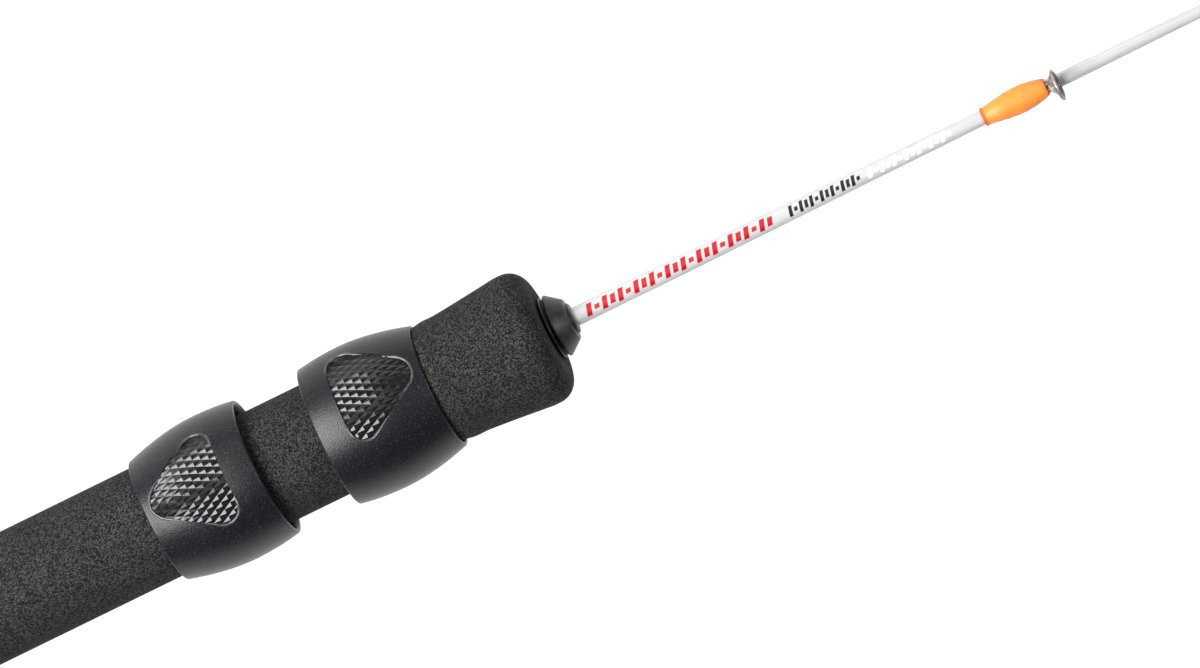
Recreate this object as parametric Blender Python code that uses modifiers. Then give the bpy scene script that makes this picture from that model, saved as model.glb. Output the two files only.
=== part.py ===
"""Short ice fishing rod: foam grip with two sliding reel rings, a tapered blank and four line guides.

Metres, +X towards the rod tip, +Z towards the line guides. The origin is the centre of the butt end.
Each piece is one named object. Run with: blender --background --python part.py
"""
import math

import bmesh
import bpy
from mathutils import Matrix, Vector

MM = 0.001
FIT = 0.1 * MM  # gap left between pieces that are glued or rest on each other
MERGE = 0.000001

# Rod
ROD_LENGTH = 400.0 * MM
BLANK_START = 98.0 * MM
BLANK_END = ROD_LENGTH - 1.2 * MM
BLANK_TIP_RADIUS = 0.53 * MM
BLANK_BUTT_RADIUS = 1.75 * MM  # the butt end is straight
BLANK_TAPER = 0.0059  # radius lost per unit of length in front of it

# Foam grip
GRIP_START = 1.8 * MM
GRIP_END = 164.6 * MM
GRIP_RADIUS = 11.0 * MM
FRONT_FLARE_START = 138.0 * MM
FRONT_FLARE_RADIUS = 12.86 * MM
REAR_FLARE_END = 26.0 * MM
REAR_FLARE_RADIUS = 13.0 * MM
FLARE_POWER = 1.3
GRIP_CORNER = 4.0 * MM
FLARE_WIDEST = 5.4 * MM  # distance of each flare's widest place from the grip's end
CORE_RADIUS = 4.5 * MM
CORE_BORE = 3.0 * MM
CORE_START = 3.0 * MM
ARBOR_LENGTH = 16.0 * MM
ARBOR_INSET = 2.0 * MM  # from the blank's start, and from the grip's end

# Butt plug
PLUG_RADIUS = 7.5 * MM
PLUG_STEM = 14.0 * MM
PLUG_EDGE = 0.8 * MM

# Winding check in front of the grip
CHECK_BASE_RADIUS = 6.0 * MM
CHECK_CONE_RADIUS = 4.1 * MM
CHECK_CONE_END = 4.3 * MM
CHECK_COLLAR_RADIUS = 3.0 * MM
CHECK_LENGTH = 4.9 * MM
CHECK_EDGE = 0.3 * MM
CHECK_LIP = 0.8 * MM

# Reel rings: the wide mouths face each other and take the two ends of a reel foot
RING_LENGTH = 22.3 * MM
RING_BORE = 11.3 * MM
RING_MOUTH = 12.6 * MM
RING_NARROW_RADIUS = 12.0 * MM
RING_WIDEST_RADIUS = 14.3 * MM
RING_WIDEST_AT = 13.1 * MM
RING_WIDE_RIM_RADIUS = 13.5 * MM
RING_NARROW_POWER = 1.75  # how full the outline is on each side of its widest place
RING_WIDE_POWER = 2.2
RING_RIM = 0.45 * MM  # rounding of both rims
RING_TAPER_START = 9.0 * MM  # where the bore begins to open towards the mouth
REAR_RING_START = 84.3 * MM
FRONT_RING_END = 141.7 * MM

# Line guides: ring centre along the rod, and outer diameter of the hoop
GUIDES = ((268.0 * MM, 6.2 * MM), (318.0 * MM, 5.2 * MM), (360.0 * MM, 4.4 * MM))
GUIDE_WIRE = 0.28 * MM  # wire radius
GUIDE_STANDOFF = 0.8 * MM  # space between the blank and the hoop
FOOT_LENGTH = 9.5 * MM
FOOT_HALF_WIDTH = 0.45 * MM
LEG_REACH = 2.3 * MM  # from the sleeve's mouth to the hoop
INSERT_WALL = 0.5 * MM
INSERT_WIDTH = 0.9 * MM
INSERT_ROUND = 0.2 * MM
SLEEVE_LENGTH = 12.9 * MM
SLEEVE_WALL = 0.2 * MM
SLEEVE_SWELL = 0.34  # part of the sleeve's length over which it opens from the blank to the guide's foot
SLEEVE_BARREL = 0.18 * MM  # extra thickness in the middle
LEG_ANGLE = math.radians(34.0)  # where a leg meets the hoop, from its lowest point
LEG_BEND = 0.35  # part of the leg's reach at which it leaves the blank

# Tip top
TIP_HOOP = 4.0 * MM
TIP_HOOP_AT = ROD_LENGTH - INSERT_WIDTH / 2
TIP_TUBE_LENGTH = 10.0 * MM
TIP_TUBE_WALL = 0.3 * MM
TIP_TUBE_FIT = 0.06 * MM

# Facets
BIG_STEPS = 44
PLUG_STEPS = 32
SMALL_STEPS = 24
THIN_STEPS = 20
CORNER_STEPS = 5
FLARE_STEPS = 7
RING_STEPS = 12
SLEEVE_STEPS = 8
BEND_STEPS = 6


def blank_radius(x):
    """Radius of the blank at a place along the rod."""
    return min(BLANK_BUTT_RADIUS, BLANK_TIP_RADIUS + BLANK_TAPER * (ROD_LENGTH - x))


def new_collection(name):
    collection = bpy.data.collections.new(name)
    bpy.context.scene.collection.children.link(collection)
    return collection


def finish_material(name, colour, roughness, metallic=0.0):
    material = bpy.data.materials.new(name)
    material.use_nodes = True
    shader = material.node_tree.nodes["Principled BSDF"]
    shader.inputs["Base Color"].default_value = (*colour, 1.0)
    shader.inputs["Roughness"].default_value = roughness
    shader.inputs["Metallic"].default_value = metallic
    return material


def arc(centre, radius, start, end, count):
    """Points on an arc as (radius, height) pairs, angles in degrees from the +radius direction."""
    points = []
    for i in range(count + 1):
        angle = math.radians(start + (end - start) * i / count)
        points.append((centre[0] + radius * math.cos(angle), centre[1] + radius * math.sin(angle)))
    return points


def profile_mesh(name, points, closed):
    """An edge loop or an edge chain in the XZ plane, ready for a Screw modifier."""
    shape = bmesh.new()
    verts = [shape.verts.new((radius, 0.0, height)) for radius, height in points]
    pairs = list(zip(verts, verts[1:]))
    if closed:
        pairs.append((verts[-1], verts[0]))
    for pair in pairs:
        shape.edges.new(pair)
    mesh = bpy.data.meshes.new(name)
    shape.to_mesh(mesh)
    shape.free()
    return mesh


def spin(piece, steps):
    screw = piece.modifiers.new("Spin", "SCREW")
    screw.axis = "Z"
    screw.steps = steps
    screw.render_steps = steps
    screw.use_merge_vertices = True
    screw.merge_threshold = MERGE
    screw.use_smooth_shade = True


def place(name, mesh, material, collection):
    piece = bpy.data.objects.new(name, mesh)
    collection.objects.link(piece)
    if not mesh.materials:
        mesh.materials.append(material)
    return piece


def turned(name, points, material, collection, x, steps, closed=True, backwards=False):
    """A turned piece laid along the rod: profile heights become distances along +X (or -X) from x."""
    piece = place(name, profile_mesh(name, points, closed), material, collection)
    lay_along_rod(piece, x, backwards)
    spin(piece, steps)
    return piece


def lay_along_rod(piece, x, backwards=False):
    piece.location = (x, 0.0, 0.0)
    piece.rotation_euler = (0.0, math.radians(-90.0 if backwards else 90.0), 0.0)


def tube_profile(length, outer, inner_start, inner_end):
    """Section of a straight tube whose bore may taper."""
    return [(inner_end, length), (outer, length), (outer, 0.0), (inner_start, 0.0)]


def flare(start, end, radius):
    """Outline of a flare that leaves the straight grip at start and is widest at end."""
    points = []
    for i in range(FLARE_STEPS + 1):
        part = i / FLARE_STEPS
        swell = (radius - GRIP_RADIUS) * part**FLARE_POWER
        points.append((GRIP_RADIUS + swell, start + (end - start) * part))
    return points


def foam_grip(collection, material):
    corner = GRIP_CORNER
    front_centre = (FRONT_FLARE_RADIUS - corner, GRIP_END - corner)
    rear_centre = (REAR_FLARE_RADIUS - corner, GRIP_START + corner)
    outline = arc(front_centre, corner, 90.0, 0.0, CORNER_STEPS)
    outline += reversed(flare(FRONT_FLARE_START, GRIP_END - FLARE_WIDEST, FRONT_FLARE_RADIUS))
    outline += flare(REAR_FLARE_END, GRIP_START + FLARE_WIDEST, REAR_FLARE_RADIUS)
    outline += arc(rear_centre, corner, 0.0, -90.0, CORNER_STEPS)
    bore = CORE_RADIUS + FIT
    points = [(bore, GRIP_END)] + outline + [(bore, GRIP_START)]
    points = [(radius, height - GRIP_START) for radius, height in points]
    return turned("foam_grip", points, material, collection, GRIP_START, BIG_STEPS)


def core_tube(collection, material):
    length = GRIP_END - FIT - CORE_START
    points = tube_profile(length, CORE_RADIUS, CORE_BORE, CORE_BORE)
    return turned("core_tube", points, material, collection, CORE_START, SMALL_STEPS)


def arbor(name, x, collection, material):
    """Bush that centres the blank in the core tube."""
    near = blank_radius(x) + FIT
    far = blank_radius(x + ARBOR_LENGTH) + FIT
    points = tube_profile(ARBOR_LENGTH, CORE_BORE - FIT, near, far)
    return turned(name, points, material, collection, x, THIN_STEPS)


def butt_plug(collection, material):
    """Domed-edge button on the butt, with a stem that fills the end of the core tube."""
    head = GRIP_START - FIT
    edge = PLUG_EDGE
    stem = CORE_BORE - FIT
    points = [(0.0, PLUG_STEM), (stem - edge, PLUG_STEM), (stem, PLUG_STEM - edge)]
    points += [(stem, head), (PLUG_RADIUS, head)]
    points += arc((PLUG_RADIUS - edge, edge), edge, 0.0, -90.0, CORNER_STEPS)
    points += [(0.0, 0.0)]
    return turned("butt_plug", points, material, collection, 0.0, PLUG_STEPS, closed=False)


def winding_check(collection, material):
    """Rubber cone that closes the grip's front face around the blank."""
    edge = CHECK_EDGE
    start = GRIP_END + FIT
    bore_near = blank_radius(start) + FIT
    bore_far = blank_radius(start + CHECK_LENGTH) + FIT
    points = [
        (bore_far, CHECK_LENGTH),
        (CHECK_COLLAR_RADIUS - edge, CHECK_LENGTH),
        (CHECK_COLLAR_RADIUS, CHECK_LENGTH - edge),
        (CHECK_COLLAR_RADIUS, CHECK_CONE_END),
        (CHECK_CONE_RADIUS - edge, CHECK_CONE_END),
        (CHECK_CONE_RADIUS, CHECK_CONE_END - edge),
        (CHECK_BASE_RADIUS - edge, CHECK_LIP + edge),
        (CHECK_BASE_RADIUS - edge, CHECK_LIP),
        (CHECK_BASE_RADIUS, CHECK_LIP - edge),
        (CHECK_BASE_RADIUS, 0.0),
        (bore_near, 0.0),
    ]
    return turned("winding_check", points, material, collection, start, PLUG_STEPS)


def ring_outline(height):
    """Outer radius of a reel ring at a distance from its narrow end."""
    if height <= RING_WIDEST_AT:
        part = 1.0 - height / RING_WIDEST_AT
        return RING_WIDEST_RADIUS - (RING_WIDEST_RADIUS - RING_NARROW_RADIUS) * part**RING_NARROW_POWER
    part = (height - RING_WIDEST_AT) / (RING_LENGTH - RING_WIDEST_AT)
    return RING_WIDEST_RADIUS - (RING_WIDEST_RADIUS - RING_WIDE_RIM_RADIUS) * part**RING_WIDE_POWER


def ring_profile():
    rim = RING_RIM
    points = [(RING_MOUTH, RING_LENGTH - rim), (RING_MOUTH + rim, RING_LENGTH)]
    side = RING_LENGTH - 2 * rim
    outer_heights = [RING_LENGTH - rim - side * i / RING_STEPS for i in range(RING_STEPS + 1)]
    points += [(ring_outline(RING_LENGTH) - rim, RING_LENGTH)]
    points += [(ring_outline(height), height) for height in outer_heights]
    points += [(ring_outline(0.0) - rim, 0.0), (RING_BORE, 0.0), (RING_BORE, RING_TAPER_START)]
    return points


def reel_rings(collection, material):
    """Two identical rings, the front one turned end for end. Their origins lie on the slides' axis."""
    rear = place("rear_reel_ring", profile_mesh("reel_ring", ring_profile(), True), material, collection)
    front = place("front_reel_ring", rear.data, material, collection)
    lay_along_rod(rear, REAR_RING_START)
    lay_along_rod(front, FRONT_RING_END, backwards=True)
    for ring in (rear, front):
        spin(ring, BIG_STEPS)


def rod_blank(collection, material):
    length = BLANK_END - BLANK_START
    far = blank_radius(BLANK_END)
    taper_start = ROD_LENGTH - (BLANK_BUTT_RADIUS - BLANK_TIP_RADIUS) / BLANK_TAPER - BLANK_START
    points = [(0.0, length), (far, length), (BLANK_BUTT_RADIUS, taper_start)]
    points += [(BLANK_BUTT_RADIUS, 0.0), (0.0, 0.0)]
    return turned("rod_blank", points, material, collection, BLANK_START, THIN_STEPS, closed=False)


def elastic_sleeve(name, mouth, collection, material):
    """Barrel-shaped elastic tube that holds a guide's foot on the blank, tight at its rear."""
    start = mouth - SLEEVE_LENGTH
    foot_top = blank_radius(start) + 2 * GUIDE_WIRE + 2 * FIT
    inner = []
    outer = []
    for i in range(SLEEVE_STEPS + 1):
        part = i / SLEEVE_STEPS
        height = SLEEVE_LENGTH * part
        tight = blank_radius(start + height) + 0.5 * FIT
        swell = min(1.0, part / SLEEVE_SWELL)
        swell = swell * swell * (3.0 - 2.0 * swell)
        bore = tight + (foot_top - tight) * swell
        barrel = SLEEVE_BARREL * math.sin(math.pi * part)
        inner.append((bore, height))
        outer.append((bore + SLEEVE_WALL + barrel, height))
    return turned(name, list(reversed(outer)) + inner, material, collection, start, THIN_STEPS)


def tube_from_path(path, radius, material, collection):
    """A wire along a list of points, as a closed mesh object in world space."""
    curve = bpy.data.curves.new("wire", "CURVE")
    curve.dimensions = "3D"
    curve.bevel_depth = radius
    curve.bevel_resolution = 2
    curve.use_fill_caps = True
    spline = curve.splines.new("POLY")
    spline.points.add(len(path) - 1)
    for point, place_at in zip(spline.points, path):
        point.co = (*place_at, 1.0)
    wire = bpy.data.objects.new("wire", curve)
    collection.objects.link(wire)
    graph = bpy.context.evaluated_depsgraph_get()
    mesh = bpy.data.meshes.new_from_object(wire.evaluated_get(graph))
    bpy.data.objects.remove(wire)
    bpy.data.curves.remove(curve)
    shape = bmesh.new()
    shape.from_mesh(mesh)
    bmesh.ops.remove_doubles(shape, verts=shape.verts, dist=MERGE)
    shape.to_mesh(mesh)
    shape.free()
    return place("wire", mesh, material, collection)


def hoop(x, centre_height, outer_radius, wire, material, collection):
    """Torus standing across the rod."""
    bpy.ops.mesh.primitive_torus_add(
        major_radius=outer_radius - wire,
        minor_radius=wire,
        major_segments=28,
        minor_segments=8,
        location=(x, 0.0, centre_height),
        rotation=(0.0, math.radians(90.0), 0.0),
    )
    ring = bpy.context.object
    for owner in list(ring.users_collection):
        owner.objects.unlink(ring)
    collection.objects.link(ring)
    ring.data.materials.append(material)
    ring.data.shade_smooth()
    return ring


def join_solids(piece, others, cutters):
    """Boolean union of overlapping solids into one closed piece."""
    for other in others:
        for owner in list(other.users_collection):
            owner.objects.unlink(other)
        cutters.objects.link(other)
        other.hide_render = True
        other.display_type = "WIRE"
        union = piece.modifiers.new("Join", "BOOLEAN")
        union.operation = "UNION"
        union.solver = "EXACT"
        union.object = other


def hoop_height(x, outer_radius):
    return blank_radius(x) + GUIDE_STANDOFF + outer_radius


def leg_joint(x, height, outer_radius, side):
    """Where a leg meets the hoop, a little up its side."""
    reach = outer_radius - GUIDE_WIRE
    return Vector((x, side * reach * math.sin(LEG_ANGLE), height - reach * math.cos(LEG_ANGLE)))


def guide_frame(name, x, diameter, collection, cutters, material):
    """One bent wire: leg, foot, round end, foot and leg, welded to a hoop."""
    outer = diameter / 2
    height = hoop_height(x, outer)
    mouth = x - LEG_REACH
    rear = mouth - FOOT_LENGTH
    foot_z = blank_radius(rear) + GUIDE_WIRE + 0.5 * FIT
    path = [leg_joint(x, height, outer, 1)]
    bend = Vector((mouth + LEG_BEND * LEG_REACH, FOOT_HALF_WIDTH, foot_z))
    path += [path[0].lerp(bend, 0.5), bend, Vector((mouth, FOOT_HALF_WIDTH, foot_z))]
    for i in range(BEND_STEPS + 1):
        angle = math.pi * (0.5 + i / BEND_STEPS)
        path.append(Vector((
            rear + FOOT_HALF_WIDTH + FOOT_HALF_WIDTH * math.cos(angle),
            FOOT_HALF_WIDTH * math.sin(angle),
            foot_z,
        )))
    path += [Vector((point.x, -point.y, point.z)) for point in reversed(path[:4])]
    ring = hoop(x, height, outer, GUIDE_WIRE, material, collection)
    ring.name = name
    ring.data.name = name
    join_solids(ring, [tube_from_path(path, GUIDE_WIRE, material, collection)], cutters)
    return ring


def guide_insert(name, x, diameter, height, collection, material):
    """Smooth ceramic ring inside a hoop."""
    outer = diameter / 2 - 2 * GUIDE_WIRE - 0.4 * FIT
    inner = outer - INSERT_WALL
    half = INSERT_WIDTH / 2
    round_by = INSERT_ROUND
    points = [(inner + round_by, INSERT_WIDTH), (outer - round_by, INSERT_WIDTH)]
    points += [(outer, INSERT_WIDTH - round_by), (outer, round_by)]
    points += [(outer - round_by, 0.0), (inner + round_by, 0.0)]
    points += [(inner, half - round_by / 2), (inner, half + round_by / 2)]
    piece = turned(name, points, material, collection, x - half, SMALL_STEPS)
    piece.location.z = height
    return piece


def tip_top_frame(collection, cutters, material):
    """Tube with a closed end over the blank's tip, two legs and a hoop."""
    outer = TIP_HOOP / 2
    x = TIP_HOOP_AT
    height = hoop_height(x, outer)
    start = ROD_LENGTH - TIP_TUBE_LENGTH
    bore = blank_radius(start) + TIP_TUBE_FIT
    wall = bore + TIP_TUBE_WALL
    closed_from = BLANK_END - start + FIT
    length = TIP_TUBE_LENGTH - FIT
    edge = wall - bore
    points = [(0.0, length), (wall - edge, length), (wall, length - edge), (wall, 0.0)]
    points += [(bore, 0.0), (bore, closed_from), (0.0, closed_from)]
    tube = turned("tip_top_frame", points, material, collection, start, THIN_STEPS, closed=False)
    foot = Vector((x - 2 * LEG_REACH, 0.0, 0.0))
    legs = []
    for side in (1, -1):
        top = leg_joint(x, height, outer, side)
        low = foot + Vector((0.0, side * edge, bore + TIP_TUBE_WALL / 2))
        legs.append(tube_from_path([top, top.lerp(low, 0.5), low], GUIDE_WIRE, material, collection))
    ring = hoop(x, height, outer, GUIDE_WIRE, material, collection)
    join_solids(tube, [ring] + legs, cutters)
    return height


def clear_scene():
    for piece in list(bpy.data.objects):
        bpy.data.objects.remove(piece)


def main():
    clear_scene()
    rod = new_collection("ice_fishing_rod")
    cutters = new_collection("joined_solids")
    foam = finish_material("foam", (0.035, 0.035, 0.037), 0.95)
    moulded = finish_material("moulded_black", (0.022, 0.022, 0.024), 0.42)
    rubber = finish_material("black_rubber", (0.025, 0.025, 0.026), 0.55)
    fibreglass = finish_material("white_fibreglass", (0.66, 0.67, 0.67), 0.3)
    tube = finish_material("core_fibreglass", (0.55, 0.52, 0.42), 0.5)
    elastic = finish_material("orange_elastic", (1.0, 0.3, 0.05), 0.45)
    steel = finish_material("steel", (0.42, 0.39, 0.37), 0.35, 1.0)
    ceramic = finish_material("grey_ceramic", (0.12, 0.12, 0.13), 0.2)

    foam_grip(rod, foam)
    core_tube(rod, tube)
    arbor("rear_arbor", BLANK_START + ARBOR_INSET, rod, tube)
    arbor("front_arbor", GRIP_END - ARBOR_LENGTH - ARBOR_INSET, rod, tube)
    butt_plug(rod, rubber)
    winding_check(rod, rubber)
    reel_rings(rod, moulded)
    rod_blank(rod, fibreglass)
    for number, (x, diameter) in enumerate(GUIDES, start=1):
        guide_frame(f"guide_{number}_frame", x, diameter, rod, cutters, steel)
        height = hoop_height(x, diameter / 2)
        guide_insert(f"guide_{number}_insert", x, diameter, height, rod, ceramic)
        elastic_sleeve(f"guide_{number}_sleeve", x - LEG_REACH, rod, elastic)
    tip_height = tip_top_frame(rod, cutters, steel)
    guide_insert("tip_top_insert", TIP_HOOP_AT, TIP_HOOP, tip_height, rod, ceramic)


main()
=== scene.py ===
"""Short ice fishing rod: the visible surfaces and finishes around the packed frame.

+X runs towards the rod tip and +Z to the side of the line guides. Sizes are in metres,
except where a function asks for millimetres.
"""

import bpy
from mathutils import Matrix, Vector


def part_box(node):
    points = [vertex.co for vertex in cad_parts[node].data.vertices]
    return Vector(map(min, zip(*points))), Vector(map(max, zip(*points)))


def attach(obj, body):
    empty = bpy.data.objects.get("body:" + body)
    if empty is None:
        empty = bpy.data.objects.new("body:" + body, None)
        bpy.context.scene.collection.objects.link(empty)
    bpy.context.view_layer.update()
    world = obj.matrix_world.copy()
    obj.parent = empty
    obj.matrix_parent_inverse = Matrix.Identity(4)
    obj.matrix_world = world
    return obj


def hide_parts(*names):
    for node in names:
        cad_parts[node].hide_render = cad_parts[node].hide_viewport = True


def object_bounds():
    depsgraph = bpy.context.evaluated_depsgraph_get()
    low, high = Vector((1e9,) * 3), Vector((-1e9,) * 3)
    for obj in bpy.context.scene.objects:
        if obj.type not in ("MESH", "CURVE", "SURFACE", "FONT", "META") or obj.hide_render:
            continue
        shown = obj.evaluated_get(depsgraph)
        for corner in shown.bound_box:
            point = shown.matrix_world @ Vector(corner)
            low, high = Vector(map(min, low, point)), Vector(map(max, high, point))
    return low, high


bl_info = {
    "name": "Ice Fishing Rod",
    "version": (1, 0, 0),
    "blender": (4, 5, 0),
    "location": "View3D > Sidebar > Ice Rod",
    "description": "Foam grip, knurled reel rings, printed blank and sleeved line guides of a short ice rod",
    "category": "Add Mesh",
}

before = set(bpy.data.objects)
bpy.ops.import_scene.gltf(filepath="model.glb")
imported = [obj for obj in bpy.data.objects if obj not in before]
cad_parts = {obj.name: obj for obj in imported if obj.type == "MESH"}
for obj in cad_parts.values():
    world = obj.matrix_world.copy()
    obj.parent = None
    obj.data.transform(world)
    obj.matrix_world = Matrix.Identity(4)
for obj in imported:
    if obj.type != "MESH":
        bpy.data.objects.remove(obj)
cad_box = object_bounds()

import math
from functools import partialmethod

import bmesh
import bpy
from bpy.props import FloatProperty, FloatVectorProperty, PointerProperty
from mathutils import Matrix, Vector

MM = 0.001
MERGE = 0.000002
ROD = Vector((1.0, 0.0, 0.0))
ALONG_ROD = Matrix.Rotation(math.radians(90.0), 4, "Y")  # turns a height above the plane into a place on +X


# ---------------- settings


def length(name, description, millimetres):
    return FloatProperty(
        name=name, description=description, default=millimetres * MM, unit="LENGTH", precision=5)


def angle(name, description, degrees):
    return FloatProperty(name=name, description=description, default=math.radians(degrees), subtype="ANGLE")


def colour(name, description, default):
    return FloatVectorProperty(
        name=name, description=description, default=default, subtype="COLOR", min=0.0, max=1.0)


class GripSettings(bpy.types.PropertyGroup):
    """Foam grip."""

    radius: length("Grip Radius", "Radius of the straight part", 11.0)
    front_radius: length("Front Flare", "Largest radius at the front", 12.86)
    rear_radius: length("Rear Flare", "Largest radius at the butt", 13.0)
    front_start: length("Front Flare Start", "Where the front flare leaves the straight part", 137.5)
    rear_end: length("Rear Flare End", "Where the rear flare meets the straight part", 26.0)
    corner: length("Corner", "Rounding of both ends", 4.0)
    dark: colour("Foam Dark", "Foam between the grains", (0.0035, 0.0034, 0.0034))
    light: colour("Foam Light", "Grains that catch the light", (0.050, 0.0477, 0.0468))


class RingSettings(bpy.types.PropertyGroup):
    """Sliding reel rings."""

    bore: length("Bore", "Radius of the bore at the narrow end", 11.3)
    mouth: length("Mouth", "Radius of the bore at the wide mouth", 12.6)
    widest: length("Widest Radius", "Largest outer radius", 14.3)
    widest_at: length("Widest At", "Distance of the widest place from the narrow end", 13.1)
    narrow: length("Narrow Radius", "Outer radius at the narrow end", 12.0)
    wide_rim: length("Wide Rim Radius", "Outer radius at the mouth", 13.5)
    rim: length("Rim", "Rounding of the rims", 0.45)
    pad_depth: length("Pad Depth", "Depth of the knurled recess", 0.75)
    knurl_length: length("Knurl Length", "Half the length of one pyramid along the rod", 1.50)
    knurl_width: length("Knurl Width", "Half the width of one pyramid around the ring", 0.74)
    rear_turn: angle("Rear Turn", "How far the rear ring's thumb pad is turned from the guides", 19.3)
    front_turn: angle("Front Turn", "How far the front ring's thumb pad is turned from the guides", 31.0)
    play: length("Play", "How far each ring sits to one side on the foam", 0.12)
    cock: angle("Cock", "How far each ring is out of square on the foam", 0.8)
    tint: colour("Ring Plastic", "Moulded plastic", (0.0058, 0.0053, 0.0074))


class BlankSettings(bpy.types.PropertyGroup):
    """Tapered blank and its printed marks."""

    tip_radius: length("Tip Radius", "Radius at the tip", 0.53)
    butt_radius: length("Butt Radius", "Radius of the straight butt end", 1.75)
    taper: FloatProperty(name="Taper", description="Radius lost per length", default=0.0059, precision=5)
    mark_start: length("Marks Start", "Where the printed marks begin", 172.2)
    mark_pitch: length("Mark Pitch", "Spacing of the red marks", 3.2)
    glass: colour("Fibreglass", "Translucent white fibreglass", (0.48, 0.48, 0.48))
    red: colour("Red Marks", "Ink of the first row of marks", (0.43, 0.004, 0.009))
    black: colour("Black Marks", "Ink of the second row of marks", (0.008, 0.008, 0.009))
    white: colour("White Marks", "Ink of the third row of marks", (0.93, 0.93, 0.93))


class GuideSettings(bpy.types.PropertyGroup):
    """Line guides and their sleeves."""

    wire: length("Wire", "Radius of the guide wire", 0.28)
    leg_reach: length("Leg Reach", "From a sleeve's mouth to the hoop", 2.3)
    foot_half_width: length("Foot Half Width", "From the foot's middle to each wire", 0.45)
    sleeve_wall: length("Sleeve Wall", "Thickness of the elastic sleeve", 0.2)
    orange: colour("Sleeve", "Orange elastic", (1.0, 0.27, 0.034))
    orange_deep: colour("Sleeve Lip", "Folded and shaded elastic", (0.78, 0.075, 0.008))
    steel: colour("Steel", "Guide wire", (0.62, 0.58, 0.54))


class StudioSettings(bpy.types.PropertyGroup):
    """Camera and light."""

    distance: length("Camera Distance", "From the camera to the rod", 2400.0)
    lens: FloatProperty(name="Lens", description="Focal length in millimetres", default=395.0)
    focus_at: length("Focus", "Place along the rod that the camera is set out from", 170.3)
    tilt: angle("Tilt", "How far the camera stands towards the tip", 7.0)
    turn: angle("Turn", "How far the camera is turned around the rod from the guides", 7.0)
    slant: angle("Slant", "Slope of the rod in the picture", 26.05)


# ---------------- mesh helpers


def collection():
    name = "ice_fishing_rod"
    found = bpy.data.collections.get(name)
    if found is None:
        found = bpy.data.collections.new(name)
        bpy.context.scene.collection.children.link(found)
    return found


def add_object(name, data):
    piece = bpy.data.objects.new(name, data)
    collection().objects.link(piece)
    return piece


def add_shape(name, shape):
    """An object from a bmesh, which is freed, with its faces turned outwards."""
    bmesh.ops.recalc_face_normals(shape, faces=shape.faces)
    mesh = bpy.data.meshes.new(name)
    shape.to_mesh(mesh)
    shape.free()
    return add_object(name, mesh)


def only(made, kind):
    return [item for item in made["geom"] if isinstance(item, kind)]


def settle(piece, place=Matrix()):
    """Applies the modifier stack and then the place, so the object itself stays at the origin."""
    graph = bpy.context.evaluated_depsgraph_get()
    mesh = bpy.data.meshes.new_from_object(piece.evaluated_get(graph), depsgraph=graph)
    mesh.transform(place)
    name = piece.name
    bpy.data.objects.remove(piece)
    mesh.name = name
    return add_object(name, mesh)


def smooth(piece, sharp_angle=None):
    piece.data.shade_smooth()
    if sharp_angle is not None:
        piece.data.set_sharp_from_angle(angle=math.radians(sharp_angle))
    return piece


def arc(centre, radius, start, end, count):
    """Points on an arc as (radius, height) pairs; angles in degrees from the outward direction."""
    steps = [math.radians(start + (end - start) * i / count) for i in range(count + 1)]
    return [(centre[0] + radius * math.cos(turn), centre[1] + radius * math.sin(turn)) for turn in steps]


def turned(name, outline, steps, closed=True, place=Matrix(), sharp_angle=None):
    """An outline of (radius, distance) pairs, turned around the rod's axis."""
    shape = bmesh.new()
    verts = [shape.verts.new((radius, 0.0, height)) for radius, height in outline]
    pairs = list(zip(verts, verts[1:]))
    if closed:
        pairs.append((verts[-1], verts[0]))
    for pair in pairs:
        shape.edges.new(pair)
    piece = add_shape(name, shape)
    screw = piece.modifiers.new("Spin", "SCREW")
    screw.steps = screw.render_steps = steps
    screw.use_merge_vertices = True
    screw.merge_threshold = MERGE
    piece = settle(piece, place @ ALONG_ROD)
    return smooth(piece, sharp_angle)


def wire(name, path, radius, cyclic=False, roundness=3):
    """A smooth wire through a list of points."""
    curve = bpy.data.curves.new(name, "CURVE")
    curve.dimensions = "3D"
    curve.bevel_depth = radius
    curve.bevel_resolution = roundness
    curve.use_fill_caps = not cyclic
    spline = curve.splines.new("POLY")
    spline.points.add(len(path) - 1)
    spline.use_cyclic_u = cyclic
    for point, place in zip(spline.points, path):
        point.co = (*place, 1.0)
    piece = settle(add_object(name, curve))
    weld(piece.data)
    return smooth(piece, 50.0)


def weld(mesh):
    shape = bmesh.new()
    shape.from_mesh(mesh)
    bmesh.ops.remove_doubles(shape, verts=shape.verts, dist=MERGE)
    bmesh.ops.recalc_face_normals(shape, faces=shape.faces)
    shape.to_mesh(mesh)
    shape.free()


def smooth_path(points, density):
    """Points along a Catmull-Rom curve through the given points."""
    padded = [2 * points[0] - points[1]] + points + [2 * points[-1] - points[-2]]
    path = []
    for a, b, c, d in zip(padded, padded[1:], padded[2:], padded[3:]):
        for i in range(density):
            t = i / density
            path.append(0.5 * (2 * b + (c - a) * t + (2 * a - 5 * b + 4 * c - d) * t**2
                               + (3 * b - a - 3 * c + d) * t**3))
    return path + [points[-1]]


def eased(part):
    """0 at 0 and below, 1 at 1 and above, smooth between."""
    part = min(1.0, max(0.0, part))
    return part * part * (3.0 - 2.0 * part)


def boolean(piece, tool, operation):
    """Cuts or keeps with a tool, applies the result and removes the tool."""
    step = piece.modifiers.new("Cut", "BOOLEAN")
    step.operation = operation
    step.solver = "EXACT"
    step.object = tool
    piece = settle(piece)
    bpy.data.objects.remove(tool)
    return piece


def dress(piece, finish, body, slot, *nodes):
    """Gives a piece its finish and its body, and hides the CAD nodes it stands for."""
    piece.data.materials.clear()
    piece.data.materials.append(finish)
    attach(piece, body)
    if nodes:
        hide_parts(*nodes)


# ---------------- shader helpers


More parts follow.
